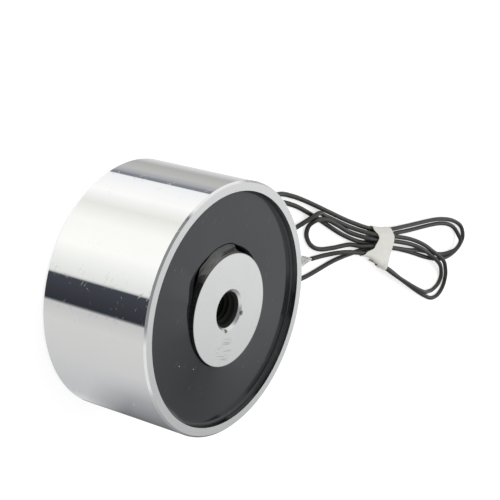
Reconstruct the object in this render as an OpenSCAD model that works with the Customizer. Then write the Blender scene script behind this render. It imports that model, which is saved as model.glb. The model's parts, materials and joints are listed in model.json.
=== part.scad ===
// Holding electromagnet: a plated steel pot, a coil potted around its tapped core, and two thin leads.
// The pot stands on its back face at Z = 0 with its pole face up, and the tied leads lie beside it.

/* [Pot] */
// Outside diameter of the pot
pot_d = 40; // [36:0.5:46]
// Height from the back face to the pole face
pot_h = 20; // [18:0.5:28]
// Thickness of the side wall
pot_wall = 1.55; // [1.2:0.05:2]
// Thickness of the back plate
back_t = 4; // [3:0.1:5]
// Chamfer on the outer edge of the rim
rim_chamfer = 0.3; // [0.1:0.05:0.5]
// Chamfer on the edge of the back face
back_chamfer = 0.5; // [0.2:0.05:0.8]

/* [Core] */
// Diameter of the core's pole
core_d = 17.8; // [16:0.1:19]
// Diameter of the spigot that is staked into the back plate
spigot_d = 11; // [9:0.1:14]
// Diameter of the tapped hole through the core
thread_d = 5; // [4:0.1:6]
// Diameter of the countersink at each end of the tapped hole
countersink_d = 6.6; // [6.2:0.1:8]

/* [Bobbin and coil] */
// Wall of the bobbin's tube
bobbin_wall = 0.8; // [0.5:0.1:1.2]
// Thickness of the bobbin's front flange
front_flange_t = 1; // [0.6:0.1:1.5]
// Thickness of the bobbin's rear flange, which is notched for the splices
rear_flange_t = 3.6; // [3.6:0.1:4.5]
// Gap between the flanges and the pot's wall
flange_gap = 0.3; // [0.2:0.05:0.5]
// Thickness of the tape around the winding
tape_t = 0.2; // [0.1:0.05:0.4]
// Thickness of the resin skirt between the tape and the pot's wall
skirt_t = 1.3; // [0.8:0.1:1.8]
// Diameter of the winding's own wire
tail_d = 0.4; // [0.3:0.05:0.6]

/* [Potting resin] */
// Depth of the resin's surface below the pole face
resin_recess = 1.5; // [1.1:0.1:2]
// Thickness of the resin over the front flange
resin_t = 2; // [1.2:0.1:3]
// Radius of the meniscus that climbs the core
core_meniscus_r = 1; // [0.6:0.1:1.2]
// Radius of the meniscus that climbs the pot's wall
wall_meniscus_r = 0.4; // [0.2:0.05:0.8]

/* [Lead exit] */
// Direction of the lead exit around the pot, from +X
exit_angle = 123; // [110:1:135]
// Diameter of the bush that the leads pass through
bush_d = 3.4; // [3:0.05:3.5]
// Length of the bush inside the pot's wall
bush_reach = 0.5; // [0.3:0.1:1]
// Diameter of the bush's outer collar
collar_d = 4.8; // [4.2:0.1:5.6]
// Thickness of the bush's outer collar
collar_t = 0.8; // [0.5:0.1:1.2]
// Spacing of the two leads in the bush
lead_pitch = 1.6; // [1.55:0.05:1.75]

/* [Leads] */
// Outside diameter of a lead's insulation
lead_d = 0.9; // [0.7:0.05:0.9]
// Diameter of a lead's tinned conductor
tip_d = 0.5; // [0.4:0.05:0.6]
// Length of the bare tip of a lead
tip_l = 4; // [3:0.5:6]
// Wall of the shrink sleeve over a splice
sleeve_wall = 0.2; // [0.15:0.01:0.22]
// Length of the shrink sleeve over a splice
sleeve_l = 3.8; // [3:0.1:4.5]
// Straight run of a lead out of the bush
lead_run = 3; // [2:0.5:5]

/* [Tie] */
// Wall of the soft band around the leads
tie_wall = 0.3; // [0.25:0.05:0.3]
// Width of the band along the leads
tie_w = 8; // [5:0.2:8.4]

/* [Hidden] */

$fn = 96;
// Clearance between pieces that fit or are bonded together
fit = 0.05;
// Overlap of a cut past the face that it opens
cut = 1;

// Pot and core
pot_r = pot_d / 2;
pot_inner_r = pot_r - pot_wall;
core_r = core_d / 2;
spigot_r = spigot_d / 2;

// Bobbin, from the back plate to the underside of the resin
tube_inner_r = core_r + fit;
tube_outer_r = tube_inner_r + bobbin_wall;
flange_r = pot_inner_r - flange_gap;
flange_top = pot_h - resin_recess - resin_t;
winding_z = back_t + rear_flange_t;
winding_top = flange_top - front_flange_t;
tape_outer_r = pot_inner_r - skirt_t;
tape_inner_r = tape_outer_r - tape_t;
resin_z = pot_h - resin_recess;

// Lead exit and splices, along the radius through the notch in the rear flange
exit_z = back_t + rear_flange_t / 2;
bush_inner_r = pot_inner_r - bush_reach;
splice_gap = 0.3;
sleeve_outer_r = bush_inner_r - splice_gap;
sleeve_inner_r = sleeve_outer_r - sleeve_l;
joint_r = (sleeve_inner_r + sleeve_outer_r) / 2;
sleeve_d = lead_d + 2 * fit + 2 * sleeve_wall;
tail_r = sleeve_inner_r - tail_d;
notch_r = tail_r - tail_d;
notch_w = lead_pitch + sleeve_d + 2 * splice_gap;
bush_shoulder_r = pot_r - pot_wall / 2;

// Which side of the exit's radius each lead lies on
SIDE_A = 1;
SIDE_B = -1;

// The tie holds eight strands in two layers, which spread towards the loops.
// Its middle along the leads, and the X of its rounded sides at two places along them
tie_y = 74.8;
TIE_NEAR_Y = 70.8;
TIE_NEAR_SIDES = [-23.3, -18.5];
TIE_FAR_Y = 78.8;
TIE_FAR_SIDES = [-24.9, -17.4];
tie_inner_r = 1;
tie_z = tie_wall + tie_inner_r;

// Routes of the leads outside the pot: to the tie, a loop, back through it, and so on, four passes in all
ROUTE_A = [
    [-15.5, 22.6, 5], [-19.4, 28.5, 2.4], [-22.3, 34, 0.8], [-23.2, 40, 0.5], [-23.1, 62.4, 0.5],
    [-23.4, 70.5, 0.8], [-24.1, 75.5, 0.8], [-25.5, 80.5, 0.8], [-27.3, 86.4, 0.5], [-31.6, 100.1, 0.5],
    [-32.6, 107.5, 0.5], [-32, 111.7, 0.5], [-30.2, 113.5, 0.5], [-28.4, 113.1, 0.5], [-25.8, 110.5, 0.5],
    [-23.7, 105.8, 0.5], [-22.8, 100.5, 0.5], [-22.2, 89, 0.5], [-21.4, 81, 0.8], [-19.2, 70.5, 0.8],
    [-18.3, 68.5, 0.5], [-15, 60.7, 0.5], [-9.9, 51.4, 0.5], [-8, 46.5, 0.5], [-8, 40.5, 0.5], [-11, 37, 0.5],
    [-15, 38, 0.5], [-17.7, 43, 0.5], [-19.6, 45.2, 1.1], [-21.2, 47.1, 1.5], [-22.2, 49.3, 1.2],
    [-22.2, 52.5, 0.5], [-22.1, 62.8, 0.5], [-22.4, 70, 1.75], [-23.9, 80.3, 1.75], [-24.7, 87.7, 1.75],
    [-24.7, 93, 1.9], [-24.3, 98.5, 1.5], [-23.3, 105.2, 1.5], [-22, 108.4, 0.9], [-20.3, 110.3, 0.5],
    [-18, 110.3, 0.5], [-16, 109, 0.5], [-14.8, 106.5, 0.5], [-14.7, 102.5, 0.5], [-16.2, 89.8, 0.5],
    [-17.2, 82, 0.8], [-17.4, 76.9, 0.8]
];
ROUTE_B = [
    [-14.2, 23.5, 5], [-18.2, 29.5, 2.4], [-21, 35, 0.8], [-21.7, 41, 0.5], [-21.3, 48.7, 0.5],
    [-20.1, 62, 0.5], [-20.5, 70.5, 0.8], [-24.4, 80.6, 0.8], [-26.3, 86.9, 0.5], [-30.7, 100.6, 0.5],
    [-31.4, 105.5, 0.5], [-31.1, 108.5, 0.5], [-30.2, 110.3, 0.8], [-29, 111, 1.45], [-27, 110, 1.45],
    [-25.8, 108.3, 1], [-24.7, 105.6, 0.5], [-23.5, 95, 0.5], [-23.2, 92, 1], [-22.6, 89, 1.4],
    [-21.5, 80.4, 1.75], [-20.2, 71.4, 1.75], [-19.3, 67.7, 1.2], [-18.9, 64.8, 0.5], [-17, 58.5, 0.5],
    [-15.9, 54.1, 0.5], [-15.8, 51.6, 0.5], [-16.3, 49.5, 0.5], [-17.6, 47.8, 0.5], [-19.2, 47.2, 0.9],
    [-20.3, 47.7, 1.5], [-21, 49.3, 1.5], [-21.5, 52, 1.4], [-21.4, 57, 1.2], [-21.1, 63.6, 0.6],
    [-21.4, 70, 1.75], [-22.9, 80.3, 1.75], [-23.7, 88.1, 1.75], [-23.7, 93, 1.9], [-23.3, 98.5, 1.5],
    [-22.3, 103.8, 1.5], [-21.3, 106.5, 0.9], [-19.9, 108.1, 0.5], [-18.2, 107.6, 0.5], [-16.6, 105.8, 0.5],
    [-15.9, 103.5, 0.8], [-15.3, 100, 1.45], [-16.1, 88, 1.45], [-17, 79.8, 1.75], [-18.4, 71.7, 1.75],
    [-17.8, 66.5, 1.5], [-16.6, 60.2, 1.45], [-15.2, 56.5, 0.6], [-13.6, 52, 0.5]
];
LEAD_SIDES = 8;
SMALL_SIDES = 32;

// A place beside the exit's radius, at the leads' height
function exit_point(r, offset) = [
    r * cos(exit_angle) - offset * sin(exit_angle),
    r * sin(exit_angle) + offset * cos(exit_angle),
    exit_z
];

// The whole path of a lead: straight from its splice out of the bush, then along its route
function lead_path(side, route) = concat(
    [exit_point(joint_r, side * lead_pitch / 2),
     exit_point(pot_r + collar_t + lead_run, side * lead_pitch / 2)],
    route
);

function unit(v) = v / norm(v);

// Direction of a path at point i
function heading(path, i) = unit(path[min(i + 1, len(path) - 1)] - path[max(i - 1, 0)]);

// One ring of points around point i of a path
function ring(path, i, r, sides) =
    let (along = heading(path, i), across = unit(cross(along, [0, 0, 1])), up = cross(across, along))
    [for (k = [0 : sides - 1]) let (a = 360 * (k + 0.5) / sides) path[i] + r * (cos(a) * across + sin(a) * up)];

// A closed tube along a path
module tube(path, d, sides) {
    last = len(path) - 1;
    points = [for (i = [0 : last]) each ring(path, i, d / 2, sides)];
    walls = [
        for (i = [0 : last - 1], k = [0 : sides - 1])
            let (next = (k + 1) % sides)
            [i * sides + k, i * sides + next, (i + 1) * sides + next, (i + 1) * sides + k]
    ];
    first_cap = [for (k = [0 : sides - 1]) sides - 1 - k];
    last_cap = [for (k = [0 : sides - 1]) last * sides + k];
    polyhedron(points, concat(walls, [first_cap, last_cap]));
}

// Turns the exit's radius into local Z, with local Y across it
module at_exit() {
    rotate([0, 0, exit_angle]) translate([0, 0, exit_z]) rotate([0, 90, 0]) children();
}

// X of one rounded side of the tie at a place along the leads
function tie_side(side, y) =
    let (part = (y - TIE_NEAR_Y) / (TIE_FAR_Y - TIE_NEAR_Y))
    TIE_NEAR_SIDES[side] * (1 - part) + TIE_FAR_SIDES[side] * part;

// A flat, tapered bar with rounded sides, around the strands in the tie
module tapered_bar(length, r) {
    hull() for (y = [tie_y - length / 2, tie_y + length / 2], side = [0, 1])
        translate([tie_side(side, y), y, tie_z]) rotate([90, 0, 0])
            cylinder(r = r, h = fit, center = true, $fn = SMALL_SIDES);
}

// A ring from radius r0 to r1 and from height z0 to z1, as half a section
module half_section(r0, r1, z0, z1) {
    translate([r0, z0]) square([r1 - r0, z1 - z0]);
}

// Turned steel pot, drilled for the core's spigot and for the leads
module pot() {
    color([0.8, 0.81, 0.83]) difference() {
        rotate_extrude() polygon([
            [spigot_r + fit, 0], [pot_r - back_chamfer, 0], [pot_r, back_chamfer],
            [pot_r, pot_h - rim_chamfer], [pot_r - rim_chamfer, pot_h], [pot_inner_r, pot_h],
            [pot_inner_r, back_t], [spigot_r + fit, back_t]
        ]);
        at_exit() translate([0, 0, bush_inner_r]) cylinder(d = bush_d + 2 * fit, h = pot_r - bush_inner_r + cut);
    }
}

// Turned core with its staked spigot, tapped right through and countersunk at both ends
module pole_core() {
    sink = (countersink_d - thread_d) / 2;
    thread_r = thread_d / 2;
    color([0.76, 0.77, 0.79]) rotate_extrude() polygon([
        [thread_r + sink, 0], [spigot_r, 0], [spigot_r, back_t], [core_r, back_t], [core_r, pot_h],
        [thread_r + sink, pot_h], [thread_r, pot_h - sink], [thread_r, sink]
    ]);
}

// Moulded bobbin, with a notch in its rear flange for the splices
module bobbin() {
    color([0.87, 0.85, 0.78]) difference() {
        rotate_extrude() polygon([
            [tube_inner_r, back_t], [flange_r, back_t], [flange_r, winding_z], [tube_outer_r, winding_z],
            [tube_outer_r, winding_top], [flange_r, winding_top], [flange_r, flange_top],
            [tube_inner_r, flange_top]
        ]);
        rotate([0, 0, exit_angle]) translate([notch_r, -notch_w / 2, back_t - cut])
            cube([pot_r - notch_r, notch_w, rear_flange_t + cut]);
    }
}

// Enamelled copper winding, as one mass between the flanges
module coil_winding() {
    color([0.72, 0.38, 0.18]) rotate_extrude()
        half_section(tube_outer_r + fit, tape_inner_r - fit, winding_z, winding_top);
}

// Polyester tape around the winding
module coil_tape() {
    color([0.85, 0.7, 0.2]) rotate_extrude()
        half_section(tape_inner_r, tape_outer_r, winding_z, winding_top);
}

// End of the winding's wire: down into the notch and out to the lead's conductor
module coil_tail(side) {
    color([0.75, 0.42, 0.2]) rotate([0, 0, exit_angle]) translate([0, side * lead_pitch / 2, 0]) {
        translate([tail_r, 0, exit_z]) cylinder(d = tail_d, h = winding_z - exit_z, $fn = SMALL_SIDES);
        translate([tail_r, 0, exit_z]) sphere(d = tail_d, $fn = SMALL_SIDES);
        translate([tail_r, 0, exit_z]) rotate([0, 90, 0]) cylinder(d = tail_d, h = joint_r - tail_r, $fn = SMALL_SIDES);
    }
}

module coil_tail_start() { coil_tail(SIDE_A); }

module coil_tail_finish() { coil_tail(SIDE_B); }

// Shrink sleeve over a soldered splice
module splice_sleeve(side) {
    color([0.15, 0.15, 0.16]) at_exit() translate([0, side * lead_pitch / 2, sleeve_inner_r]) difference() {
        cylinder(d = sleeve_d, h = sleeve_l, $fn = SMALL_SIDES);
        translate([0, 0, -cut]) cylinder(d = lead_d + 2 * fit, h = sleeve_l + 2 * cut, $fn = SMALL_SIDES);
    }
}

module splice_sleeve_a() { splice_sleeve(SIDE_A); }

module splice_sleeve_b() { splice_sleeve(SIDE_B); }

// Half a section of a meniscus, in the corner between the resin and a wall to its left
module meniscus(r) {
    difference() {
        square(r);
        translate([r, r]) circle(r);
    }
}

// Cast resin: a cap over the front flange that climbs both walls, and a skirt around the coil
module potting_resin() {
    inner_r = core_r + fit;
    outer_r = pot_inner_r - fit;
    color([0.09, 0.09, 0.1]) rotate_extrude() {
        half_section(inner_r, outer_r, flange_top, resin_z);
        half_section(flange_r + fit, outer_r, winding_top - fit, flange_top);
        half_section(tape_outer_r + fit, outer_r, winding_z, winding_top - fit);
        translate([inner_r, resin_z]) meniscus(core_meniscus_r);
        translate([outer_r, resin_z]) mirror([1, 0]) meniscus(wall_meniscus_r);
    }
}

// Rubber bush with a collar that sits on the round wall, and a hole for each lead
module lead_bush() {
    color([0.12, 0.12, 0.12]) difference() {
        at_exit() {
            translate([0, 0, bush_inner_r]) cylinder(d = bush_d, h = pot_r + collar_t - bush_inner_r);
            difference() {
                translate([0, 0, bush_shoulder_r]) cylinder(d = collar_d, h = pot_r + collar_t - bush_shoulder_r);
                rotate([0, -90, 0]) translate([0, 0, -pot_h]) cylinder(r = pot_r + fit, h = 2 * pot_h);
            }
        }
        for (side = [SIDE_A, SIDE_B])
            at_exit() translate([0, side * lead_pitch / 2, bush_inner_r - cut])
                cylinder(d = lead_d + 2 * fit, h = pot_r + collar_t - bush_inner_r + 2 * cut, $fn = SMALL_SIDES);
    }
}

// Insulation of a lead, from its splice to its stripped end
module lead(side, route) {
    color([0.06, 0.06, 0.07]) tube(lead_path(side, route), lead_d, LEAD_SIDES);
}

module lead_a() { lead(SIDE_A, ROUTE_A); }

module lead_b() { lead(SIDE_B, ROUTE_B); }

// Bare tinned end of a lead's conductor, in line with the end of its route
module lead_tip(route) {
    end = route[len(route) - 1];
    along = heading(route, len(route) - 1);
    color([0.82, 0.82, 0.8]) translate(end) rotate([0, acos(along.z), atan2(along.y, along.x)])
        cylinder(d = tip_d, h = tip_l, $fn = SMALL_SIDES);
}

module lead_tip_a() { lead_tip(ROUTE_A); }

module lead_tip_b() { lead_tip(ROUTE_B); }

// Soft white band around the eight strands
module lead_tie() {
    color([0.93, 0.92, 0.89]) difference() {
        tapered_bar(tie_w, tie_inner_r + tie_wall);
        tapered_bar(tie_w + 2 * cut, tie_inner_r);
    }
}

pot();
pole_core();
bobbin();
coil_winding();
coil_tape();
coil_tail_start();
coil_tail_finish();
splice_sleeve_a();
splice_sleeve_b();
potting_resin();
lead_bush();
lead_a();
lead_b();
lead_tip_a();
lead_tip_b();
lead_tie();
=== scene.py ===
"""Looks of the holding electromagnet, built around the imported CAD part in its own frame, in metres."""

import json
import math
import random

import bpy
from mathutils import Matrix, Vector, noise


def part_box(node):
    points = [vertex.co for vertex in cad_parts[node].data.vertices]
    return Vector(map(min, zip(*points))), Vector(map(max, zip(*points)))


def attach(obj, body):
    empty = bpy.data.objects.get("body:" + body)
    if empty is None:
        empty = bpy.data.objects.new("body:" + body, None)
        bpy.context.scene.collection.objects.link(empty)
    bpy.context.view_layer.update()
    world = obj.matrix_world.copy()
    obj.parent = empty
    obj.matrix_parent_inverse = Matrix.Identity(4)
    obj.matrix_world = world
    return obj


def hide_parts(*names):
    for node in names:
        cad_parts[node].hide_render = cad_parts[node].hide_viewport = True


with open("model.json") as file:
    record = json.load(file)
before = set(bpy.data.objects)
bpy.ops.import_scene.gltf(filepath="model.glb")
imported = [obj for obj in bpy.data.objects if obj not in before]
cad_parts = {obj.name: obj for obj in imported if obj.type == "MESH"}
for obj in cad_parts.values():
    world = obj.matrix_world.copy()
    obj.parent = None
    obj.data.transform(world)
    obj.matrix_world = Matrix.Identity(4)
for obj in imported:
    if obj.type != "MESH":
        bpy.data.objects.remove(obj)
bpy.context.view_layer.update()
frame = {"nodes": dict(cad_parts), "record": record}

MM = 0.001
TURN = 2 * math.pi
random.seed(4)

# Sizes taken from the frame
POT_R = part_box("pot")[1].x
POLE_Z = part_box("pot")[1].z
CORE_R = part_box("pole_core")[1].x
RESIN_LOW, RESIN_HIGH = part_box("potting_resin")
BUSH_LOW, BUSH_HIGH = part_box("lead_bush")
THREAD = next(m for m in frame["record"]["mounts"] if m["name"] == "rear_thread")
THREAD_R = THREAD["dims"]["r_mm"] * MM
THREAD_LENGTH = THREAD["dims"]["length_mm"] * MM

# Camera, fitted to the two rims of the pot in the photograph
IMAGE_SIZE = 500
FOCAL_PIXELS = 1443.8
POT_CENTRE_PIXEL = (177.67, 295.66)
CAMERA_ELEVATION = 35.52
CAMERA_ROLL = 105.76
CAMERA_DISTANCE = 225 * MM
CAMERA_CLIP = 5 * MM
SENSOR = 36

# Leads: their exit from the pot and their routes in millimetres, as in the part's source
EXIT_ANGLE = math.radians(123)
EXIT_Z = (BUSH_LOW.z + BUSH_HIGH.z) / 2
EXIT_R = POT_R + 0.8 * MM
LEAD_RUN = 3 * MM
LEAD_PITCH = 1.6 * MM
LEAD_D = 0.9 * MM
ROUTE_STEP = 0.4 * MM
# The wires begin this far inside the pot's outer wall
LEAD_INSIDE = 1 * MM
LEAD_A_SIDE = 1
LEAD_B_SIDE = -1
ROUTE_A = [
    (-15.5, 22.6, 5), (-19.4, 28.5, 2.4), (-22.3, 34, 0.8), (-23.2, 40, 0.5), (-23.1, 62.4, 0.5),
    (-23.4, 70.5, 0.8), (-24.1, 75.5, 0.8), (-25.5, 80.5, 0.8), (-27.3, 86.4, 0.5), (-31.6, 100.1, 0.5),
    (-32.6, 107.5, 0.5), (-32, 111.7, 0.5), (-30.2, 113.5, 0.5), (-28.4, 113.1, 0.5), (-25.8, 110.5, 0.5),
    (-23.7, 105.8, 0.5), (-22.8, 100.5, 0.5), (-22.2, 89, 0.5), (-21.4, 81, 0.8), (-19.2, 70.5, 0.8),
    (-18.3, 68.5, 0.5), (-15, 60.7, 0.5), (-9.9, 51.4, 0.5), (-8, 46.5, 0.5), (-8, 40.5, 0.5), (-11, 37, 0.5),
    (-15, 38, 0.5), (-17.7, 43, 0.5), (-19.6, 45.2, 1.1), (-21.2, 47.1, 1.5), (-22.2, 49.3, 1.2),
    (-22.2, 52.5, 0.5), (-22.1, 62.8, 0.5), (-22.4, 70, 1.75), (-23.9, 80.3, 1.75), (-24.7, 87.7, 1.75),
    (-24.7, 93, 1.9), (-24.3, 98.5, 1.5), (-23.3, 105.2, 1.5), (-22, 108.4, 0.9), (-20.3, 110.3, 0.5),
    (-18, 110.3, 0.5), (-16, 109, 0.5), (-14.8, 106.5, 0.5), (-14.7, 102.5, 0.5), (-16.2, 89.8, 0.5),
    (-17.2, 82, 0.8), (-17.4, 76.9, 0.8),
]
ROUTE_B = [
    (-14.2, 23.5, 5), (-18.2, 29.5, 2.4), (-21, 35, 0.8), (-21.7, 41, 0.5), (-21.3, 48.7, 0.5),
    (-20.1, 62, 0.5), (-20.5, 70.5, 0.8), (-24.4, 80.6, 0.8), (-26.3, 86.9, 0.5), (-30.7, 100.6, 0.5),
    (-31.4, 105.5, 0.5), (-31.1, 108.5, 0.5), (-30.2, 110.3, 0.8), (-29, 111, 1.45), (-27, 110, 1.45),
    (-25.8, 108.3, 1), (-24.7, 105.6, 0.5), (-23.5, 95, 0.5), (-23.2, 92, 1), (-22.6, 89, 1.4),
    (-21.5, 80.4, 1.75), (-20.2, 71.4, 1.75), (-19.3, 67.7, 1.2), (-18.9, 64.8, 0.5), (-17, 58.5, 0.5),
    (-15.9, 54.1, 0.5), (-15.8, 51.6, 0.5), (-16.3, 49.5, 0.5), (-17.6, 47.8, 0.5), (-19.2, 47.2, 0.9),
    (-20.3, 47.7, 1.5), (-21, 49.3, 1.5), (-21.5, 52, 1.4), (-21.4, 57, 1.2), (-21.1, 63.6, 0.6),
    (-21.4, 70, 1.75), (-22.9, 80.3, 1.75), (-23.7, 88.1, 1.75), (-23.7, 93, 1.9), (-23.3, 98.5, 1.5),
    (-22.3, 103.8, 1.5), (-21.3, 106.5, 0.9), (-19.9, 108.1, 0.5), (-18.2, 107.6, 0.5), (-16.6, 105.8, 0.5),
    (-15.9, 103.5, 0.8), (-15.3, 100, 1.45), (-16.1, 88, 1.45), (-17, 79.8, 1.75), (-18.4, 71.7, 1.75),
    (-17.8, 66.5, 1.5), (-16.6, 60.2, 1.45), (-15.2, 56.5, 0.6), (-13.6, 52, 0.5),
]

# Bare end of lead B: tinned strands that have sprung apart
STRAND_COUNT = 11
STRAND_STEPS = 10
STRAND_D = 0.24 * MM
STRAND_LENGTH = 3.6 * MM
STRAND_SHORTEST = 0.85
STRAND_INSET = 0.3 * MM
# Half of their width at the insulation, what they spread beyond it, and how late they do
STRAND_ROOT = 0.16 * MM
STRAND_SPREAD = 0.85 * MM
STRAND_FLARE = 1.6
# Their waves from side to side, their layers one above the other, and how far they sink to the floor
STRAND_WAVE = 0.05 * MM
STRAND_WAVE_RATE = 7
STRAND_LAYER = 0.14 * MM
STRAND_LAYER_RATE = 2.1
STRAND_SINK = 0.5

# Potting resin: a flat surface that rises to the core on one side and leaves a hollow beside it on the other.
# Tables are by bearing in degrees.
RESIN_Z = POLE_Z - 1.5 * MM
RESIN_GAP = 0.05 * MM
RESIN_SEGMENTS = 288
FLAT_STEPS = 24
FLAT_SPACING = 1.4
# The whole surface has set a little higher on the side that is away from the camera
RESIN_TILT = 0.4 * MM
# Rise at the core in millimetres. It falls away over a width, more steeply at the core.
RISE_BEARING = (0, 80, 140, 200, 250, 275, 305, 335, 360)
RISE = (0.75, 0.25, 0, 0, 0.15, 0.6, 0.85, 0.88, 0.75)
RISE_WIDTH = 9 * MM
RISE_POWER = 1.3
# Distance of the hollow's outer edge from the axis, in millimetres
HOLLOW_BEARING = (90, 110, 140, 165, 181, 197, 213, 229, 242, 249, 255, 262, 270, 281, 290)
HOLLOW_R = (8.95, 9.3, 9.7, 9.86, 9.85, 10.15, 10.1, 10.0, 10.1, 9.95, 9.55, 9.2, 9.0, 8.95, 8.95)
HOLLOW_LEAST = 0.02 * MM
# Share of the hollow's width, at its outer side, that is a deep groove. A fillet fills the rest.
GROOVE_BEARING = (182, 190, 222, 232, 240, 252)
GROOVE_SHARE = (1.0, 0.05, 0.05, 0.22, 0.22, 1.0)
# The groove's depth, how many times its width that may be, and the share of its width that each side slants
GROOVE_DEPTH = 1.2 * MM
GROOVE_STEEPEST = 4
GROOVE_SLANT = 0.1
# The fillet's height at the core, and how much painted sheen it has there. The painted sheen thins out
# towards the groove.
FILLET_Z = POLE_Z - 0.08 * MM
FILLET_STEPS = 10
SHEEN_BEARING = (188, 204, 224, 238, 250)
SHEEN = (0.25, 0.4, 1.0, 0.8, 0.3)
SHEEN_FADE = 0.85
# Name of the mark on the resin's points: up to 1 on the fillet, where it is painted sheen, -1 in the groove,
# where it is painted shade, and 0 elsewhere
HOLLOW_MARK = "hollow"
# Radius of the meniscus at the wall, in millimetres
WALL_BEARING = (300, 322, 342, 356)
WALL_MENISCUS = (0.4, 0.6, 1.0, 0.4)
WALL_STEPS = 10

# Soft band: places of its two edges along the leads, at each place across them, in millimetres
BAND_ACROSS = (-24.6, -23.6, -22, -20, -18.3, -17.4)
BAND_TOP_LEFT = (70.6, 70.5, 72.2, 71.5, 69, 67.6)
BAND_TOP_RIGHT = (77.5, 78, 78.7, 78.6, 78.8, 79.2)
BAND_UNDER_LEFT = (70.6, 70.7, 70.6, 70.5, 69.5, 68)
BAND_UNDER_RIGHT = (77.5, 78, 78.4, 78.6, 78.8, 79.2)
BAND_THICK = 0.14 * MM
BAND_CLEAR = 0.04 * MM
BAND_CREASE = 0.05 * MM
# Creases in a metre, around the band and along the leads
CREASE_AROUND = 800
CREASE_ALONG = 300
BAND_STATIONS = 25
BAND_ROWS = 96
BAND_COLUMNS = 20

# Thread in the core's hole
THREAD_PITCH = 0.8 * MM
THREAD_DEPTH = 0.43 * MM
THREAD_STEPS = 40
# Half of the ridge's width at its foot and at its crest, as shares of the pitch, and its least share of depth
THREAD_FOOT = 0.44
THREAD_CREST = 0.1
THREAD_LEAST = 0.02

# Wear on the core's face: X, Y and radius in millimetres of two nicks beside the hole and of a rubbed patch
NICKS = ((-0.1, 3.4, 0.42), (3.2, 0.7, 0.38))
RUBBED_PATCH = (6.2, 1.7, 2.2)

# Painted dark reflection on a stretch of the pot's inner wall: the bearings in degrees between which it sets
# in, and fades out
DARK_REFLECTION_START = (-2, 6)
DARK_REFLECTION_END = (26, 29)

# Studio surround that polished metal reflects: bearing in degrees from +X, and its colour there
AHEAD = [
    (72, (0.15, 0.152, 0.155)), (79, (0.4, 0.402, 0.405)), (85, (0.52, 0.523, 0.526)),
    (90, (0.76, 0.765, 0.77)), (95, (0.93, 0.934, 0.938)),
]
SURROUND = AHEAD + [
    (100, (0.96, 0.962, 0.965)), (108, (0.74, 0.74, 0.74)), (118, (0.65, 0.65, 0.65)),
    (131, (0.45, 0.45, 0.44)), (149, (0.53, 0.53, 0.52)), (157, (0.4, 0.41, 0.43)),
    (160.5, (0.24, 0.25, 0.29)), (163.6, (0.2, 0.21, 0.25)), (164.6, (0.93, 0.94, 0.95)),
    (190, (1.06, 1.06, 1.04)), (207, (0.85, 0.85, 0.82)), (225, (1.03, 1.03, 1.0)),
    (250, (1.06, 1.06, 1.03)), (278.4, (0.79, 0.81, 0.78)), (279.6, (0.058, 0.062, 0.078)),
    (295, (0.042, 0.044, 0.054)), (303.6, (0.03, 0.034, 0.044)), (305, (0.58, 0.58, 0.58)),
    (320, (0.67, 0.67, 0.66)), (355, (0.63, 0.63, 0.63)),
]
# The last bearings of the surround: steeply below the level they stay pale, and above that they darken
PALE_END = [
    (367, (0.6, 0.605, 0.61)), (392, (0.555, 0.56, 0.57)), (408, (0.555, 0.56, 0.57)),
    (424, (0.65, 0.655, 0.66)), (431, (0.67, 0.67, 0.67)),
]
DARK_END = [
    (367, (0.54, 0.545, 0.555)), (383, (0.39, 0.395, 0.41)), (400, (0.295, 0.3, 0.315)),
    (416, (0.22, 0.223, 0.233)), (431, (0.15, 0.152, 0.155)),
]
# Above a height the surround is pale ahead of the camera and nearly black behind it
OVERHEAD = AHEAD + [
    (180, (0.95, 0.95, 0.95)), (196, (0.06, 0.06, 0.07)), (310, (0.06, 0.06, 0.07)), (326, (0.8, 0.8, 0.8)),
    (400, (0.8, 0.8, 0.8)), (431, (0.2, 0.2, 0.2)),
]
# Higher still it is paler ahead, and dark grey behind
ZENITH = [
    (72, (0.35, 0.35, 0.355)), (85, (0.75, 0.75, 0.755)), (95, (1.0, 1.0, 1.0)), (180, (0.95, 0.95, 0.95)),
    (196, (0.27, 0.27, 0.28)), (310, (0.27, 0.27, 0.28)), (326, (0.8, 0.8, 0.8)), (400, (0.8, 0.8, 0.8)),
    (431, (0.3, 0.3, 0.3)),
]
# Heights, as sines of the elevation, between which each of these gives way to the next
DARK_HEIGHTS = (-0.613, -0.589)
OVERHEAD_HEIGHTS = (0.48, 0.54)
ZENITH_HEIGHTS = (0.56, 0.68)
# One side is pale from a little above the level: the bearings between which that sets in, and fades out
SIDE_START = (130, 140)
SIDE_END = (188, 196)
SIDE_HEIGHTS = (0.1, 0.2)
SIDE_PALE = (0.88, 0.88, 0.88)

# Plain light, and the floor
SOFT_LIGHT = 0.75
KEY_LIGHT_WATTS = 0.9
KEY_LIGHT_SIZE = 0.5
KEY_LIGHT_PLACE = (-0.25, 0.1, 0.5)
FLOOR_REACH = 3.0
FLOOR_DROP = 0.02 * MM
FLOOR_GREY = (0.6, 0.6, 0.6, 1)
FLOOR_GLOW = 0.62
WHITE = (1, 1, 1, 1)

# Colours of the steel and the resin. A pair is mottled from one to the other.
PLATING = ((0.9, 0.905, 0.91), (0.94, 0.94, 0.935))
PLATING_FACED = ((0.73, 0.735, 0.74), (0.79, 0.79, 0.79))
INNER_WALL = (0.45, 0.45, 0.46)
# Painted dark reflection on one stretch of the inner wall
INNER_WALL_DARK_REFLECTION = (0.03, 0.03, 0.03)
CORE_FACE = ((0.79, 0.795, 0.795), (0.85, 0.85, 0.845))
CORE_RUBBED = (0.6, 0.6, 0.59)
CORE_NICKED = (0.2, 0.2, 0.19)
# Painted shade on the core's side and the outer rim of its face
CORE_SIDE_SHADE = (0.35, 0.35, 0.36)
# Painted shade in the tapped hole
CORE_HOLE_SHADE = (0.021, 0.021, 0.018)
RESIN_SKIN = (0.019, 0.0205, 0.0232)
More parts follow.
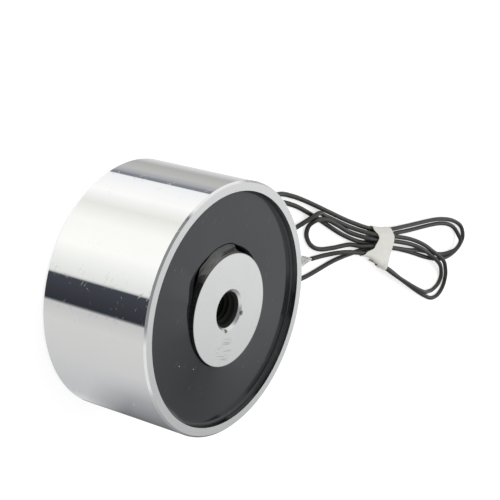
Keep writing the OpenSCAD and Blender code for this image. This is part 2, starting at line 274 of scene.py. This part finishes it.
# Painted sheen on the fillet in the hollow beside the core
RESIN_PAINTED_SHEEN = (0.17, 0.168, 0.15)
# Painted shade in the hollow's groove
RESIN_GROOVE_SHADE = (0.002, 0.002, 0.002)
RESIN_MARKED = (0.4, 0.4, 0.4)
# Distances from the axis between which one of these gives way to another
INNER_WALL_ENDS = (POT_R - 1.2 * MM, POT_R - 1 * MM)
CORE_SIDE_STARTS = (CORE_R - 0.12 * MM, CORE_R - 0.06 * MM)
HOLE_SHADE_ENDS = (THREAD_R + 0.36 * MM, THREAD_R + 0.44 * MM)
# Heights of the relief in the materials
TOOL_MARK = 0.004 * MM
RESIN_RIPPLE = 0.012 * MM
COPPER_TURN = 0.15 * MM


# Meshes and curves

def add_piece(name, data, material, stands_for=None):
    """Adds an object of the part that rides on its only body, in place of a CAD node or beside it."""
    piece = bpy.data.objects.new(name, data)
    bpy.context.scene.collection.objects.link(piece)
    data.materials.append(material)
    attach(piece, "root")
    if stands_for:
        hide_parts(stands_for)
    return piece


def grid_mesh(name, rows, close_rows=False, close_columns=False):
    """A smooth mesh through rows of points, each row as long as the others."""
    width = len(rows[0])
    points = [point for row in rows for point in row]
    faces = []
    for i in range(len(rows) if close_rows else len(rows) - 1):
        for j in range(width if close_columns else width - 1):
            below = (i + 1) % len(rows)
            beside = (j + 1) % width
            faces.append((i * width + j, i * width + beside, below * width + beside, below * width + j))
    mesh = bpy.data.meshes.new(name)
    mesh.from_pydata(points, [], faces)
    mesh.update()
    mesh.polygons.foreach_set("use_smooth", [True] * len(faces))
    return mesh


def ease(value):
    """A smooth step from 0 to 1."""
    value = min(1.0, max(0.0, value))
    return value * value * (3 - 2 * value)


def along_table(places, values, place):
    """A value between the entries of a short table, eased from one to the next."""
    if place <= places[0]:
        return values[0]
    for low, high, first, second in zip(places, places[1:], values, values[1:]):
        if place <= high:
            return first + (second - first) * ease((place - low) / (high - low))
    return values[-1]


def smooth_line(points, step):
    """Points about a step apart on a curve through the given points, which does not overshoot them."""
    ends = [2 * points[0] - points[1]] + points + [2 * points[-1] - points[-2]]
    line = [points[0]]
    for a, b, c, d in zip(ends, ends[1:], ends[2:], ends[3:]):
        t1 = math.sqrt((b - a).length)
        t2 = t1 + math.sqrt((c - b).length)
        t3 = t2 + math.sqrt((d - c).length)
        count = max(2, math.ceil((c - b).length / step))
        for k in range(1, count + 1):
            t = t1 + (t2 - t1) * k / count
            ab = a.lerp(b, t / t1)
            bc = b.lerp(c, (t - t1) / (t2 - t1))
            cd = c.lerp(d, (t - t2) / (t3 - t2))
            abc = ab.lerp(bc, t / t2)
            bcd = bc.lerp(cd, (t - t1) / (t3 - t1))
            line.append(abc.lerp(bcd, (t - t1) / (t2 - t1)))
    return line


def line_length(line):
    return sum((b - a).length for a, b in zip(line, line[1:]))


def wire_curve(name, lines, diameter):
    """Round wires along lines of points."""
    curve = bpy.data.curves.new(name, "CURVE")
    curve.dimensions = "3D"
    curve.bevel_depth = diameter / 2
    curve.bevel_resolution = 3
    curve.use_fill_caps = True
    for line in lines:
        spline = curve.splines.new("POLY")
        spline.points.add(len(line) - 1)
        for point, place in zip(spline.points, line):
            point.co = (*place, 1)
        spline.use_smooth = True
    return curve


# Materials

class Tree:
    """The nodes of a material or of the world, and short ways to add to them."""

    def __init__(self, owner):
        owner.use_nodes = True
        self.nodes = owner.node_tree.nodes
        self.links = owner.node_tree.links

    def node(self, kind, inputs=None, **settings):
        """Adds a node, with its settings and with inputs that are values or other nodes' outputs."""
        node = self.nodes.new(kind)
        for name, value in settings.items():
            setattr(node, name, value)
        for key, value in (inputs or {}).items():
            if isinstance(value, bpy.types.NodeSocket):
                self.links.new(value, node.inputs[key])
            else:
                node.inputs[key].default_value = value
        return node

    def math(self, operation, first, second=0.0):
        return self.node("ShaderNodeMath", {0: first, 1: second}, operation=operation).outputs[0]

    def spread(self, value, low, high, to_low=0.0, to_high=1.0):
        """Spreads a value from one range to another, and holds it there."""
        inputs = {"Value": value, "From Min": low, "From Max": high, "To Min": to_low, "To Max": to_high}
        return self.node("ShaderNodeMapRange", inputs, clamp=True).outputs["Result"]

    def stretch(self, value, ends):
        """1 in a stretch of a value, which sets in between two ends and fades out between two more."""
        setting_in = self.spread(value, ends[0], ends[1])
        return self.math("MULTIPLY", setting_in, self.spread(value, ends[2], ends[3], 1.0, 0.0))

    def blend(self, amount, first, second):
        """A colour between two colours."""
        node = self.node("ShaderNodeMix", data_type="RGBA")
        for socket, value in ((node.inputs[0], amount), (node.inputs[6], first), (node.inputs[7], second)):
            if isinstance(value, bpy.types.NodeSocket):
                self.links.new(value, socket)
            else:
                socket.default_value = (*value, 1) if isinstance(value, tuple) else value
        return node.outputs[2]

    def ramp(self, value, stops):
        """A colour by a value from 0 to 1, between stops that are pairs of a value and a colour."""
        node = self.node("ShaderNodeValToRGB", {0: value})
        elements = node.color_ramp.elements
        for index, (position, colour) in enumerate(stops):
            element = elements[index] if index < 2 else elements.new(position)
            element.position = position
            element.color = (*colour, 1)
        return node.outputs[0]


class Shading(Tree):
    """One procedural material with a single shader."""

    def __init__(self, name, **sockets):
        self.material = bpy.data.materials.new(name)
        super().__init__(self.material)
        self.shader = self.nodes["Principled BSDF"]
        for socket, value in sockets.items():
            self.shader.inputs[socket.replace("_", " ")].default_value = value

    def place(self, scale=(1, 1, 1), turn=(0, 0, 0), base=None):
        """Object coordinates, or those of a base, turned and scaled."""
        base = base or self.node("ShaderNodeTexCoord").outputs["Object"]
        inputs = {"Vector": base, "Scale": scale, "Rotation": turn}
        return self.node("ShaderNodeMapping", inputs).outputs["Vector"]

    def noise(self, place, scale, detail=3.0, roughness=0.55):
        inputs = {"Vector": place, "Scale": scale, "Detail": detail, "Roughness": roughness}
        return self.node("ShaderNodeTexNoise", inputs).outputs["Fac"]

    def drum(self, radius):
        """Coordinates on a drum around the Z axis: the distance around it, and the height."""
        base = self.node("ShaderNodeTexCoord").outputs["Object"]
        axes = self.node("ShaderNodeSeparateXYZ", {0: base}).outputs
        around = self.math("MULTIPLY", self.math("ARCTAN2", axes[1], axes[0]), radius)
        return self.node("ShaderNodeCombineXYZ", {0: around, 1: axes[2]}).outputs[0]

    def from_axis(self):
        """Distance from the Z axis."""
        base = self.place(scale=(1, 1, 0))
        return self.node("ShaderNodeVectorMath", {0: base}, operation="LENGTH").outputs["Value"]

    def rings(self):
        """Distance from the Z axis, as a coordinate."""
        return self.node("ShaderNodeCombineXYZ", {0: self.from_axis()}).outputs[0]

    def facing_up(self):
        """1 on faces square to the Z axis, 0 on those along it."""
        normal = self.node("ShaderNodeNewGeometry").outputs["Normal"]
        height = self.node("ShaderNodeSeparateXYZ", {0: normal}).outputs[2]
        return self.spread(self.math("ABSOLUTE", height), 0.8, 0.95)

    def colour(self, socket):
        self.links.new(socket, self.shader.inputs["Base Color"])

    def roughness(self, socket):
        self.links.new(socket, self.shader.inputs["Roughness"])

    def bump(self, height, distance):
        node = self.node("ShaderNodeBump", {"Height": height, "Distance": distance, "Strength": 1.0})
        self.links.new(node.outputs["Normal"], self.shader.inputs["Normal"])


def scratches(shading, base, turn, along, across, rarity, bare=0.5):
    """Thin, short scratches in one direction: 1 on them and 0 elsewhere.

    Rarity thins them out where they are, and bare is how much of the surface has none.
    """
    turned = shading.place((1, 1, 1), (0, 0, turn), base)
    lines = shading.noise(shading.place((along, across, 1), base=turned), 1.0, 1.0, 0.4)
    patches = shading.noise(shading.place((260, 260, 1), base=turned), 1.0, 2.0)
    thin = shading.spread(lines, rarity, rarity + 0.03)
    return shading.math("MULTIPLY", thin, shading.spread(patches, bare, bare + 0.12))


def spots(shading, places, edge):
    """1 in ragged spots on the pole face and 0 elsewhere, with a soft edge that is a share of the radius.

    Each place has its X, Y and radius in millimetres.
    """
    ragged = shading.node("ShaderNodeTexNoise", {"Scale": 4000.0}).outputs["Fac"]
    whole = 0.0
    for x, y, size in places:
        radius = size * MM
        ends = {0: shading.node("ShaderNodeTexCoord").outputs["Object"], 1: (x * MM, y * MM, POLE_Z)}
        away = shading.node("ShaderNodeVectorMath", ends, operation="DISTANCE").outputs["Value"]
        away = shading.math("ADD", away, shading.spread(ragged, 0.3, 0.7, -0.3 * radius, 0.3 * radius))
        spot = shading.spread(away, (1 - edge) * radius, radius, 1.0, 0.0)
        whole = shading.math("MAXIMUM", whole, spot)
    return whole


def plated_steel():
    """Bright plating on a turned drum, with satin, faced ends, a darker inside and a painted dark reflection
    on one stretch of the inside.
    """
    shading = Shading("plated_steel", Metallic=1.0)
    drum = shading.drum(POT_R)
    up = shading.facing_up()
    smudge = shading.noise(shading.place(), 140, 4.0)
    marks = shading.math("MAXIMUM", scratches(shading, drum, 0.5, 500, 5200, 0.68),
                         scratches(shading, drum, -0.9, 600, 5600, 0.69))
    polish = shading.spread(smudge, 0.35, 0.75, 0.015, 0.04)
    polish = shading.math("ADD", polish, shading.math("MULTIPLY", marks, 0.3))
    facing = shading.spread(shading.noise(shading.rings(), 5200, 2.0), 0.3, 0.7, 0.26, 0.36)
    shading.roughness(shading.node("ShaderNodeMix", {0: up, 2: polish, 3: facing}).outputs[0])
    away = shading.from_axis()
    inside = shading.spread(away, *INNER_WALL_ENDS, 1.0, 0.0)
    wall = shading.blend(smudge, *PLATING)
    around = shading.node("ShaderNodeSeparateXYZ", {0: drum}).outputs[0]
    # A stretch of the inner wall, set by bearing, is painted near black: painted dark reflection.
    dark_reflection = shading.stretch(around, [math.radians(bearing) * POT_R for bearing in DARK_REFLECTION_START + DARK_REFLECTION_END])
    wall = shading.blend(inside, wall, shading.blend(dark_reflection, INNER_WALL, INNER_WALL_DARK_REFLECTION))
    shading.colour(shading.blend(up, wall, shading.blend(smudge, *PLATING_FACED)))
    turning = shading.noise(shading.place((60, 6500, 1), base=drum), 1.0, 2.0)
    turning = shading.math("MULTIPLY", turning, 0.04)
    facing_marks = shading.noise(shading.rings(), 7000, 2.0)
    height = shading.node("ShaderNodeMix", {0: up, 2: turning, 3: facing_marks}).outputs[0]
    shading.bump(shading.math("SUBTRACT", height, shading.math("MULTIPLY", marks, 0.8)), TOOL_MARK)
    return shading.material


def core_steel():
    """Satin plating on a faced core, with fine rings, rubbed marks, nicks, painted shade along its edge and
    side, and a tapped hole darkened with painted shade.
    """
    shading = Shading("core_steel")
    smudge = shading.noise(shading.place(), 260, 4.0)
    rings = shading.noise(shading.rings(), 6000, 2.0)
    rubbed = scratches(shading, shading.place(), 1.5, 500, 4200, 0.72)
    worn = scratches(shading, shading.place(), -1.73, 280, 4200, 0.56, 0.2)
    worn = shading.math("MULTIPLY", worn, spots(shading, [RUBBED_PATCH], 0.6))
    rubbed = shading.math("MAXIMUM", rubbed, worn)
    nicked = spots(shading, NICKS, 0.3)
    away = shading.from_axis()
    # The tapped hole is painted near black, dull and not metallic: painted shade.
    hole_shade = shading.spread(away, *HOLE_SHADE_ENDS, 1.0, 0.0)
    outside_hole = shading.math("SUBTRACT", 1.0, hole_shade)
    shading.links.new(outside_hole, shading.shader.inputs["Metallic"])
    shading.links.new(shading.math("MULTIPLY", outside_hole, 0.5), shading.shader.inputs["Specular IOR Level"])
    face = shading.blend(smudge, *CORE_FACE)
    face = shading.blend(rubbed, face, CORE_RUBBED)
    face = shading.blend(nicked, face, CORE_NICKED)
    # The core's side and the outer rim of its face are darkened: painted shade.
    face = shading.blend(shading.spread(away, *CORE_SIDE_STARTS), face, CORE_SIDE_SHADE)
    shading.colour(shading.blend(hole_shade, face, CORE_HOLE_SHADE))
    rough = shading.spread(rings, 0.3, 0.7, 0.25, 0.34)
    rough = shading.math("ADD", rough, shading.math("MULTIPLY", rubbed, 0.2))
    shading.roughness(shading.math("ADD", rough, shading.math("MULTIPLY", hole_shade, 0.3)))
    worn_off = shading.math("ADD", rubbed, shading.math("MULTIPLY", nicked, 6.0))
    shading.bump(shading.math("SUBTRACT", rings, worn_off), TOOL_MARK)
    return shading.material


def resin():
    """Dark cast resin with a glossy, slightly rippled skin, specks of dust, hairlines, painted sheen on the
    hollow's fillet and painted shade in its groove.
    """
    shading = Shading("resin", IOR=1.55)
    ripple = shading.noise(shading.place(), 420, 2.0)
    dust_cells = shading.node("ShaderNodeTexVoronoi", {"Vector": shading.place(), "Scale": 600.0})
    dust_and_sheen = shading.spread(dust_cells.outputs["Distance"], 0.04, 0.08, 1.0, 0.0)
    chance = shading.node("ShaderNodeSeparateXYZ", {0: dust_cells.outputs["Color"]}).outputs[0]
    dust_and_sheen = shading.math("MULTIPLY", dust_and_sheen, shading.spread(chance, 0.88, 0.94))
    hairs = scratches(shading, shading.place(), 0.2, 420, 6500, 0.71)
    marks = shading.math("MAXIMUM", dust_and_sheen, shading.math("MULTIPLY", hairs, 0.25))
    hollow = shading.node("ShaderNodeAttribute", attribute_name=HOLLOW_MARK).outputs["Fac"]
    # On the hollow's fillet the colour is lifted to grey: painted sheen.
    patchy = shading.spread(ripple, 0.25, 0.7, 0.5, 1.0)
    painted_sheen = shading.spread(shading.math("MULTIPLY", hollow, patchy), 0.0, 1.0)
    # The groove is painted near black and loses its gloss: painted shade.
    groove_shade = shading.spread(hollow, 0.0, -1.0)
    skin = shading.blend(painted_sheen, RESIN_SKIN, RESIN_PAINTED_SHEEN)
    skin = shading.blend(groove_shade, skin, RESIN_GROOVE_SHADE)
    shading.links.new(shading.spread(groove_shade, 0.0, 1.0, 0.5, 0.0), shading.shader.inputs["Specular IOR Level"])
    shading.colour(shading.blend(marks, skin, RESIN_MARKED))
    shading.roughness(shading.spread(shading.noise(shading.place(), 900, 3.0), 0.3, 0.7, 0.07, 0.13))
    shading.bump(shading.math("ADD", shading.math("MULTIPLY", ripple, 0.5), marks), RESIN_RIPPLE)
    return shading.material


def plain(name, first, second, rough, scale, bump=0.01, **sockets):
    """A moulded or drawn surface with a slight mottle in its colour, gloss and height."""
    shading = Shading(name, **sockets)
    mottle = shading.noise(shading.place(), scale, 4.0)
    shading.colour(shading.blend(mottle, first, second))
    shading.roughness(shading.spread(mottle, 0.3, 0.7, rough - 0.05, rough + 0.05))
    shading.bump(mottle, bump * MM)
    return shading.material


def copper_winding():
    """Enamelled copper, wound in close turns, with painted shade between the turns."""
    shading = Shading("copper", Metallic=1.0)
    turns = shading.node("ShaderNodeTexWave", {"Vector": shading.place(), "Scale": 800.0, "Distortion": 0.4},
                         bands_direction="Z").outputs["Fac"]
    shading.colour(shading.blend(turns, (0.3, 0.1, 0.03), (0.75, 0.36, 0.16)))
    shading.roughness(shading.spread(turns, 0, 1, 0.4, 0.25))
    shading.bump(turns, COPPER_TURN)
    return shading.material


STEEL = plated_steel()
CORE_STEEL = core_steel()
RESIN = resin()
COPPER = copper_winding()
INSULATION = plain("lead_insulation", (0.0155, 0.0178, 0.0152), (0.0255, 0.028, 0.0245), 0.36, 900)
RUBBER = plain("bush_rubber", (0.012, 0.012, 0.012), (0.022, 0.022, 0.021), 0.55, 1500)
SLEEVE = plain("sleeve", (0.015, 0.015, 0.017), (0.025, 0.025, 0.027), 0.5, 1200)
BOBBIN = plain("bobbin_plastic", (0.72, 0.69, 0.58), (0.78, 0.75, 0.65), 0.45, 500)
TAPE = plain("tape", (0.75, 0.53, 0.07), (0.82, 0.6, 0.1), 0.25, 300)
TINNED = plain("tinned_wire", (0.78, 0.78, 0.76), (0.88, 0.88, 0.86), 0.25, 2500, Metallic=1.0)
BAND = plain("soft_band", (0.78, 0.77, 0.71), (0.86, 0.85, 0.8), 0.42, 700, 0.03, Alpha=0.86)


# Pieces

def wall_meniscus(bearing):
    """Radius of the resin's meniscus at the pot's wall."""
    return along_table(WALL_BEARING, WALL_MENISCUS, bearing) * MM


def resin_height(distance, bearing):
    """Height of the resin's surface outside its hollow."""
    rise = along_table(RISE_BEARING, RISE, bearing) * MM
    slope = max(0.0, 1 - (distance - CORE_R) / RISE_WIDTH) ** RISE_POWER
    meniscus = wall_meniscus(bearing)
    climb = max(0.0, 1 - (RESIN_HIGH.x - distance) / meniscus)
    tilt = RESIN_TILT * (1 + distance / RESIN_HIGH.x * math.sin(math.radians(bearing))) / 2
    return RESIN_Z + tilt + rise * slope + meniscus * (1 - math.sqrt(max(0.0, 1 - climb * climb)))


def add_resin():
    """The potted ring: its uneven top with the hollow beside the core, and a body below it."""
    inner = CORE_R + RESIN_GAP
    outer = RESIN_HIGH.x
    rows = []
    marks = []
    for i in range(RESIN_SEGMENTS):
        bearing = 360 * i / RESIN_SEGMENTS
        width = max(along_table(HOLLOW_BEARING, HOLLOW_R, bearing) * MM - inner, HOLLOW_LEAST)
        edge = inner + width
        edge_z = resin_height(edge, bearing)
        groove = width * along_table(GROOVE_BEARING, GROOVE_SHARE, bearing)
        depth = min(GROOVE_DEPTH, GROOVE_STEEPEST * groove)
        section = [(inner, RESIN_LOW.z)]
        marks.append(0.0)
        for k in range(FILLET_STEPS + 1):
            part = k / FILLET_STEPS
            r = inner + (width - groove) * part
            section.append((r, edge_z + (FILLET_Z - edge_z) * (1 - part) ** 2))
        section.append((edge - (1 - GROOVE_SLANT) * groove, edge_z - depth))
        section.append((edge - GROOVE_SLANT * groove, edge_z - depth))
        # The fillet's mark is painted sheen, set by bearing and thinning out towards the groove.
        dust_and_sheen = along_table(SHEEN_BEARING, SHEEN, bearing)
        marks += [dust_and_sheen * (1 - SHEEN_FADE * k / FILLET_STEPS) for k in range(FILLET_STEPS)]
        marks += [-1.0] * 3
        meniscus = wall_meniscus(bearing)
        flat_to = outer - meniscus
        for k in range(FLAT_STEPS):
            r = edge + (flat_to - edge) * (k / FLAT_STEPS) ** FLAT_SPACING
            section.append((r, resin_height(r, bearing)))
        for k in range(WALL_STEPS + 1):
            r = flat_to + meniscus * math.sin(math.pi / 2 * k / WALL_STEPS)
            section.append((r, resin_height(r, bearing)))
        section.append((outer, RESIN_LOW.z))
        marks += [0.0] * (FLAT_STEPS + WALL_STEPS + 2)
        turn = math.radians(bearing)
        rows.append([Vector((r * math.cos(turn), r * math.sin(turn), z)) for r, z in section])
    mesh = grid_mesh("resin", rows, close_rows=True, close_columns=True)
    mesh.attributes.new(HOLLOW_MARK, "FLOAT", "POINT").data.foreach_set("value", marks)
    add_piece("resin", mesh, RESIN, "potting_resin")


def add_thread():
    """The ridge of the thread, wound up the core's hole."""
    start = POLE_Z / 2 - THREAD_LENGTH / 2
    turns = THREAD_LENGTH / THREAD_PITCH - 1
    rows = []
    for i in range(int(turns * THREAD_STEPS) + 1):
        turn = TURN * i / THREAD_STEPS
        z = start + THREAD_PITCH * (0.5 + i / THREAD_STEPS)
        fade = min(1, i / THREAD_STEPS, turns - i / THREAD_STEPS)
        crest = THREAD_R - THREAD_DEPTH * max(THREAD_LEAST, fade)
        section = [(THREAD_R, -THREAD_FOOT), (crest, -THREAD_CREST), (crest, THREAD_CREST),
                   (THREAD_R, THREAD_FOOT)]
        rows.append([Vector((r * math.cos(turn), r * math.sin(turn), z + THREAD_PITCH * offset))
                     for r, offset in section])
    mesh = grid_mesh("thread", rows)
    mesh.polygons.foreach_set("use_smooth", [False] * len(mesh.polygons))
    add_piece("thread", mesh, CORE_STEEL)


def exit_point(radius, side):
    """A place on the line by which a lead leaves the pot."""
    offset = side * LEAD_PITCH / 2
    return Vector((radius * math.cos(EXIT_ANGLE) - offset * math.sin(EXIT_ANGLE),
                   radius * math.sin(EXIT_ANGLE) + offset * math.cos(EXIT_ANGLE), EXIT_Z))


def add_lead(name, side, route):
    """A lead as one smooth wire from inside the bush to its stripped end. It never dips below the floor."""
    distances = (POT_R - LEAD_INSIDE, EXIT_R, EXIT_R + LEAD_RUN)
    corners = [exit_point(distance, side) for distance in distances]
    corners += [Vector(point) * MM for point in route]
    line = smooth_line(corners, ROUTE_STEP)
    for place in line:
        place.z = max(place.z, LEAD_D / 2)
    piece = add_piece(name + "_wire", wire_curve(name, [line], LEAD_D), INSULATION, name)
    return piece, line


def add_strands(line):
    """The sprung strands at the bare end of a lead."""
    end = line[-1]
    along = (line[-1] - line[-4]).normalized()
    across = along.cross(Vector((0, 0, 1))).normalized()
    lines = []
    for i in range(STRAND_COUNT):
        lean = (i - (STRAND_COUNT - 1) / 2) / ((STRAND_COUNT - 1) / 2)
        layer = STRAND_LAYER * math.cos(i * STRAND_LAYER_RATE)
        reach = STRAND_LENGTH * random.uniform(STRAND_SHORTEST, 1)
        strand = []
        for k in range(STRAND_STEPS + 1):
            part = k / STRAND_STEPS
            side = lean * (STRAND_ROOT + STRAND_SPREAD * part ** STRAND_FLARE)
            side += STRAND_WAVE * math.sin(STRAND_WAVE_RATE * part + i)
            place = end + along * (reach * part - STRAND_INSET) + across * side
            place.z = max(STRAND_D / 2, end.z * (1 - STRAND_SINK * part) + layer)
            strand.append(place)
        lines.append(strand)
    curve = wire_curve("strands", lines, STRAND_D)
    return add_piece("bare_end", curve, TINNED, "lead_tip_b")


def strand_places(lines, y):
    """Where lines of points cross a plane square to Y, as pairs of X and Z."""
    places = []
    for line in lines:
        for a, b in zip(line, line[1:]):
            if (a.y - y) * (b.y - y) <= 0 and a.y != b.y:
                place = a.lerp(b, (y - a.y) / (b.y - a.y))
                places.append((place.x, place.z))
    return places


def loop_around(places, radius):
    """A tight loop around round strands, as evenly spaced pairs of X and Z, from the +X side over the top."""
    points = []
    for k in range(361):
        turn = math.radians(k)
        x, z = max(places, key=lambda place: place[0] * math.cos(turn) + place[1] * math.sin(turn))
        points.append(Vector((x + radius * math.cos(turn), 0, z + radius * math.sin(turn))))
    total = line_length(points)
    loop = []
    walked = 0.0
    index = 0
    for m in range(BAND_ROWS):
        target = total * m / BAND_ROWS
        step = (points[index + 1] - points[index]).length
        while walked + step < target:
            walked += step
            index += 1
            step = (points[index + 1] - points[index]).length
        loop.append(points[index].lerp(points[index + 1], (target - walked) / step if step else 0))
    return loop


def add_band(lines):
    """The soft band: a film drawn tight around the strands, with uneven edges and small creases."""
    first = min(BAND_TOP_LEFT + BAND_UNDER_LEFT) * MM
    last = max(BAND_TOP_RIGHT + BAND_UNDER_RIGHT) * MM
    radius = LEAD_D / 2 + BAND_CLEAR
    loops = []
    for k in range(BAND_STATIONS + 1):
        y = first + (last - first) * k / BAND_STATIONS
        loops.append(loop_around(strand_places(lines, y), radius))
    middle = loops[BAND_STATIONS // 2]
    middle_z = sum(point.z for point in middle) / BAND_ROWS
    rows = []
    for m, point in enumerate(middle):
        along = middle[(m + 1) % BAND_ROWS] - middle[m - 1]
        outward = Vector((along.z, 0, -along.x)).normalized()
        tables = (BAND_UNDER_LEFT, BAND_UNDER_RIGHT)
        if point.z > middle_z:
            tables = (BAND_TOP_LEFT, BAND_TOP_RIGHT)
        left, right = (along_table(BAND_ACROSS, table, point.x / MM) * MM for table in tables)
        row = []
        for k in range(BAND_COLUMNS + 1):
            y = left + (right - left) * k / BAND_COLUMNS
            station = (y - first) / (last - first) * BAND_STATIONS
            before = min(int(station), BAND_STATIONS - 1)
            place = loops[before][m].lerp(loops[before + 1][m], station - before)
            crease = noise.noise(Vector((place.x * CREASE_AROUND, y * CREASE_ALONG, place.z * CREASE_AROUND)))
            place += outward * BAND_CREASE * (1 + crease)
            row.append(Vector((place.x, y, place.z)))
        rows.append(row)
    mesh = grid_mesh("band", rows, close_rows=True)
    piece = add_piece("band", mesh, BAND, "lead_tie")
    skin = piece.modifiers.new("thickness", "SOLIDIFY")
    skin.thickness = BAND_THICK
    skin.offset = 1
    return piece


def dress(node, material):
    """Gives a CAD node its material."""
    mesh = frame["nodes"][node].data
    mesh.materials.clear()
    mesh.materials.append(material)


for node, material in (
    ("pot", STEEL), ("pole_core", CORE_STEEL), ("bobbin", BOBBIN), ("coil_winding", COPPER),
    ("coil_tape", TAPE), ("coil_tail_start", COPPER), ("coil_tail_finish", COPPER),
    ("splice_sleeve_a", SLEEVE), ("splice_sleeve_b", SLEEVE), ("potting_resin", RESIN),
    ("lead_bush", RUBBER), ("lead_a", INSULATION), ("lead_b", INSULATION), ("lead_tip_a", TINNED),
    ("lead_tip_b", TINNED), ("lead_tie", BAND),
):
    dress(node, material)

lead_a, line_a = add_lead("lead_a", LEAD_A_SIDE, ROUTE_A)
lead_b, line_b = add_lead("lead_b", LEAD_B_SIDE, ROUTE_B)
bare_end = add_strands(line_b)
band = add_band([line_a, line_b])
add_resin()
add_thread()


# Stage: floor, light and camera

def add_floor():
    """A plain pale floor that keeps soft shadows. Polished metal shows the surround in its place."""
    corners = [(FLOOR_REACH * x, FLOOR_REACH * y, 0) for x, y in ((-1, -1), (1, -1), (1, 1), (-1, 1))]
    mesh = bpy.data.meshes.new("floor")
    mesh.from_pydata(corners, [], [(0, 1, 2, 3)])
    floor = bpy.data.objects.new("floor", mesh)
    bpy.context.scene.collection.objects.link(floor)
    floor.location.z = -FLOOR_DROP
    floor.visible_glossy = False
    material = bpy.data.materials.new("floor")
    tree = Tree(material)
    tree.nodes.clear()
    matte = tree.node("ShaderNodeBsdfDiffuse", {"Color": FLOOR_GREY})
    path = tree.node("ShaderNodeLightPath").outputs
    seen = tree.math("MAXIMUM", path["Is Camera Ray"], path["Is Transmission Ray"])
    glowing = tree.math("MULTIPLY", seen, FLOOR_GLOW)
    glow = tree.node("ShaderNodeEmission", {"Color": WHITE, "Strength": glowing})
    both = tree.node("ShaderNodeAddShader", {0: matte.outputs[0], 1: glow.outputs[0]})
    tree.node("ShaderNodeOutputMaterial", {"Surface": both.outputs[0]})
    mesh.materials.append(material)


def add_surround():
    """White behind everything, a plain soft light, and a banded surround in polished surfaces."""
    world = bpy.data.worlds.new("studio")
    bpy.context.scene.world = world
    tree = Tree(world)
    tree.nodes.clear()
    place = tree.node("ShaderNodeTexCoord").outputs["Generated"]
    axes = tree.node("ShaderNodeSeparateXYZ", {0: place}).outputs
    first = SURROUND[0][0]
    bearing = tree.math("MULTIPLY", tree.math("ARCTAN2", axes[1], axes[0]), 1 / TURN)
    bearing = tree.math("FRACT", tree.math("ADD", bearing, 1 - first / 360))
    pale, dark, overhead, zenith = (
        tree.ramp(bearing, [((degrees - first) / 360, colour) for degrees, colour in stops])
        for stops in (SURROUND + PALE_END, SURROUND + DARK_END, OVERHEAD, ZENITH))
    bands = tree.blend(tree.spread(axes[2], *DARK_HEIGHTS), pale, dark)
    bands = tree.blend(tree.spread(axes[2], *OVERHEAD_HEIGHTS), bands, overhead)
    bands = tree.blend(tree.spread(axes[2], *ZENITH_HEIGHTS), bands, zenith)
    side = tree.stretch(bearing, [(degrees - first) / 360 for degrees in SIDE_START + SIDE_END])
    side = tree.math("MULTIPLY", side, tree.spread(axes[2], *SIDE_HEIGHTS))
    bands = tree.blend(side, bands, SIDE_PALE)
    banded = tree.node("ShaderNodeBackground", {"Color": bands})
    soft = tree.node("ShaderNodeBackground", {"Color": WHITE, "Strength": SOFT_LIGHT})
    white = tree.node("ShaderNodeBackground", {"Color": WHITE})
    path = tree.node("ShaderNodeLightPath").outputs
    seen = tree.math("MAXIMUM", path["Is Camera Ray"], path["Is Transmission Ray"])
    glossy = path["Is Glossy Ray"]
    lit = tree.node("ShaderNodeMixShader", {0: glossy, 1: soft.outputs[0], 2: banded.outputs[0]})
    whole = tree.node("ShaderNodeMixShader", {0: seen, 1: lit.outputs[0], 2: white.outputs[0]})
    tree.node("ShaderNodeOutputWorld", {"Surface": whole.outputs[0]})


def add_key_light():
    """One large soft lamp above the part, a little to one side."""
    lamp = bpy.data.lights.new("key", "AREA")
    lamp.shape = "DISK"
    lamp.size = KEY_LIGHT_SIZE
    lamp.energy = KEY_LIGHT_WATTS
    key = bpy.data.objects.new("key", lamp)
    bpy.context.scene.collection.objects.link(key)
    key.location = KEY_LIGHT_PLACE
    key.rotation_euler = (-key.location).to_track_quat("-Z", "Y").to_euler()
    key.visible_glossy = False


def add_camera():
    """The photograph's camera: level first, then rolled, then turned until the pot lands on its pixel."""
    elevation = math.radians(CAMERA_ELEVATION)
    back = Vector((0, -math.cos(elevation), math.sin(elevation)))
    right = Vector((0, 0, 1)).cross(back).normalized()
    up = back.cross(right)
    level = Matrix((right, up, back)).transposed()
    roll = Matrix.Rotation(math.radians(CAMERA_ROLL), 3, "Z")
    aside = math.atan((POT_CENTRE_PIXEL[0] - IMAGE_SIZE / 2) / FOCAL_PIXELS)
    above = math.atan((IMAGE_SIZE / 2 - POT_CENTRE_PIXEL[1]) / FOCAL_PIXELS)
    turn = Matrix.Rotation(aside, 3, "Y") @ Matrix.Rotation(-above, 3, "X")
    data = bpy.data.cameras.new("camera")
    data.sensor_width = SENSOR
    data.lens = FOCAL_PIXELS / IMAGE_SIZE * SENSOR
    data.clip_start = CAMERA_CLIP
    camera = bpy.data.objects.new("camera", data)
    bpy.context.scene.collection.objects.link(camera)
    place = Vector((0, 0, POLE_Z / 2)) + back * CAMERA_DISTANCE
    camera.matrix_world = Matrix.Translation(place) @ (level @ roll @ turn).to_4x4()
    bpy.context.scene.camera = camera


add_floor()
add_surround()
add_key_light()
add_camera()
bpy.context.scene.view_settings.view_transform = "Standard"
